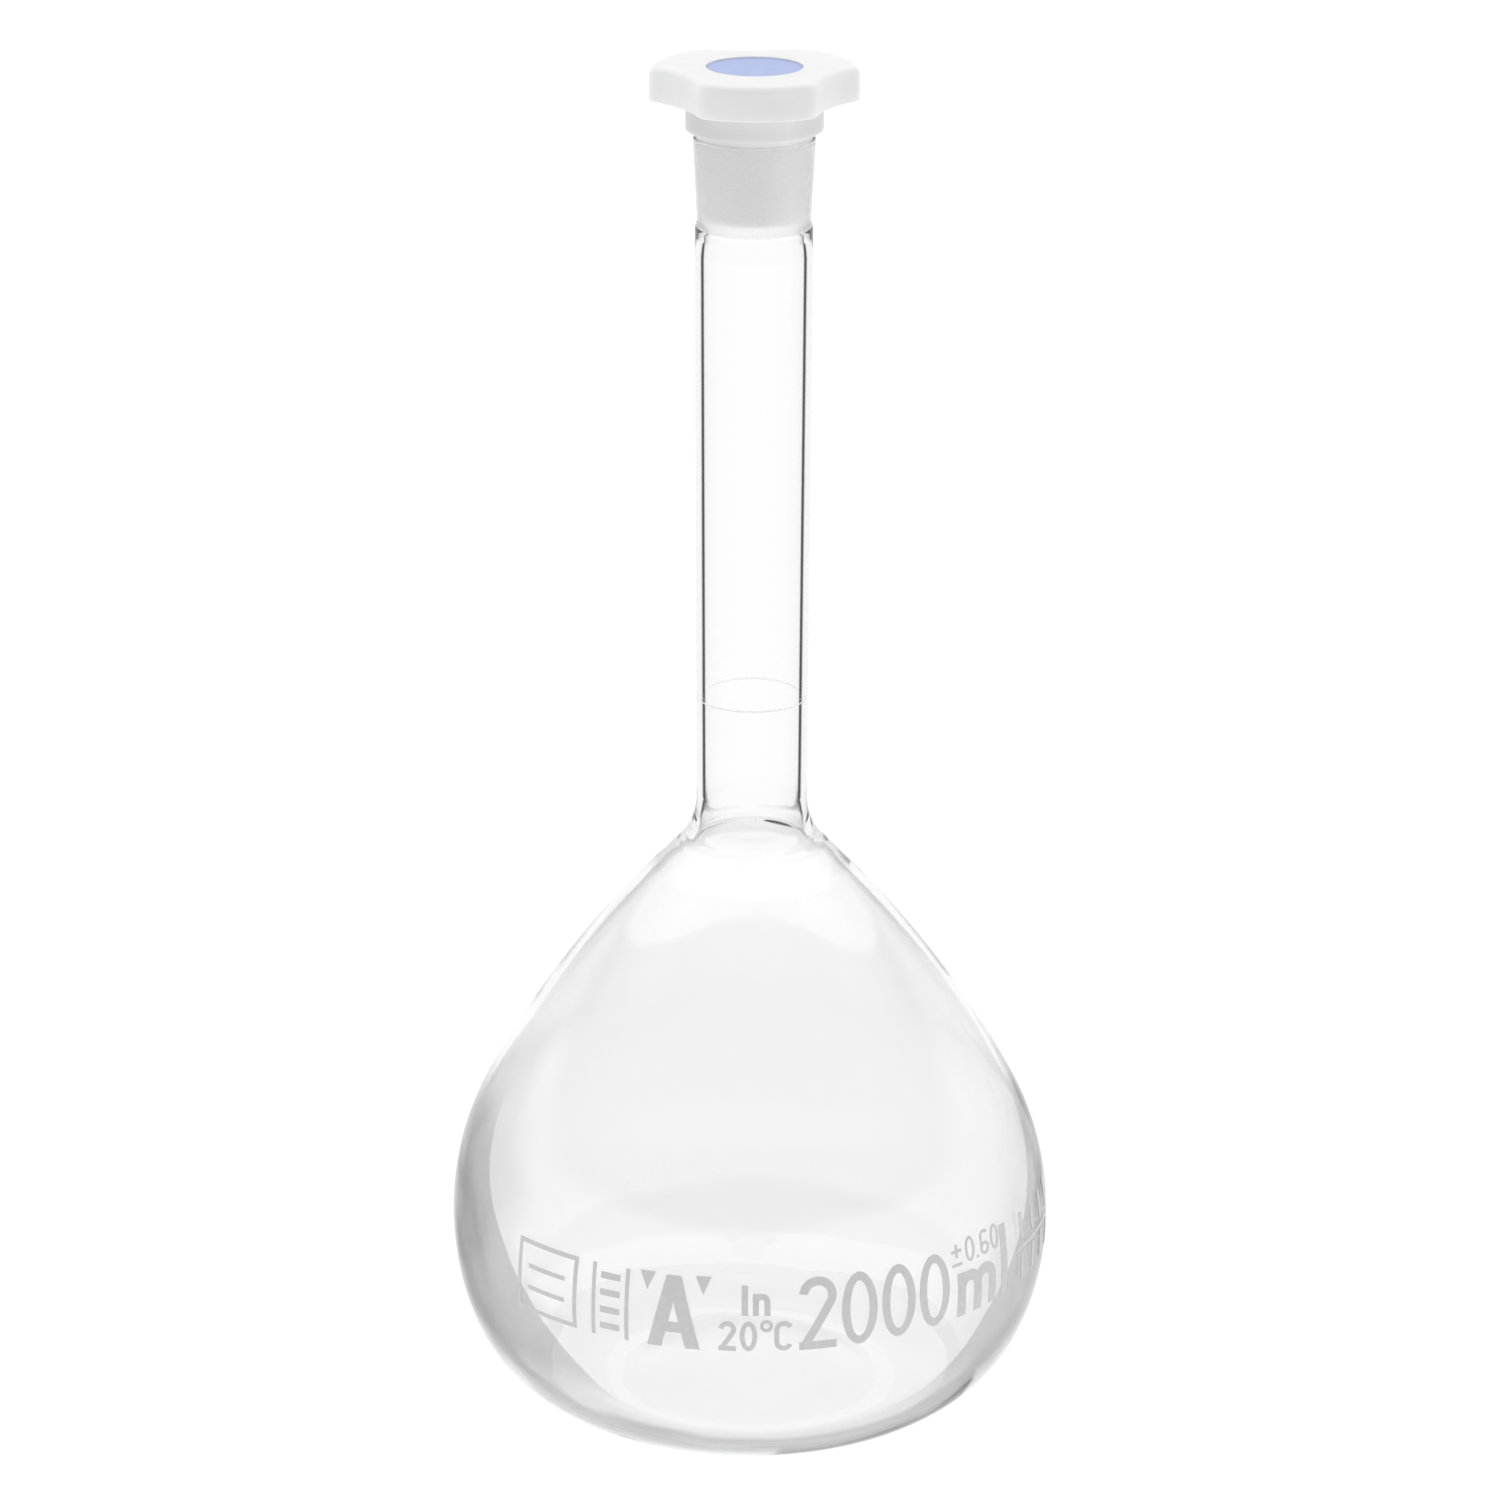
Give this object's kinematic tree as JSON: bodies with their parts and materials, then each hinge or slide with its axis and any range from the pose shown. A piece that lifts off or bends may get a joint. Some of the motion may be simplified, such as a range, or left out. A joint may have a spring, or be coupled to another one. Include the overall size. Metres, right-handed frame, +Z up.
{
  "type": "volumetric flask",
  "caption": "One-mark glass volumetric flask, pear-shaped bulb on a long ground-joint neck, with a lobed plastic finger-grip stopper that lifts and turns.",
  "frame": {"origin": "centre of the base, on the plane that the flask stands on", "axes": "+Z up along the neck towards the stopper, -Y out of the printed face, +X to the right of it"},
  "size_m": [0.1622, 0.1624, 0.3674],
  "materials": {
    "borosilicate_glass": "clear, fire polished, with a fine-ground joint",
    "fired_enamel": "thin pale grey fired enamel, standing in for the printed ink",
    "natural_polyethylene": "milky translucent polyethylene, fine satin",
    "blue_insert": "pale blue, satin"
  },
  "bodies": {
    "flask": {"bulb": "borosilicate_glass", "neck_tube": "borosilicate_glass", "ground_socket": "borosilicate_glass", "graduation_ring": "fired_enamel", "capacity_numerals": "fired_enamel", "capacity_unit": "fired_enamel", "tolerance_mark": "fired_enamel", "class_mark": "fired_enamel", "temperature_mark": "fired_enamel", "label_panel": "fired_enamel", "rule_block": "fired_enamel", "side_block": "fired_enamel"},
    "stopper_cap_disc": {"stopper_disc": "blue_insert"},
    "stopper": {"stopper_body": "natural_polyethylene"}
  },
  "joints": [
    {"name": "stopper_lift", "type": "slide", "parent": "flask", "child": "stopper_cap_disc", "axis": [0, 0, 1], "range_m": [0, 0.05]},
    {"name": "stopper_twist", "type": "hinge", "parent": "stopper_cap_disc", "child": "stopper", "pos_m": [0, 0, 0.3656], "axis": [0, 0, 1], "continuous": true}
  ]
}
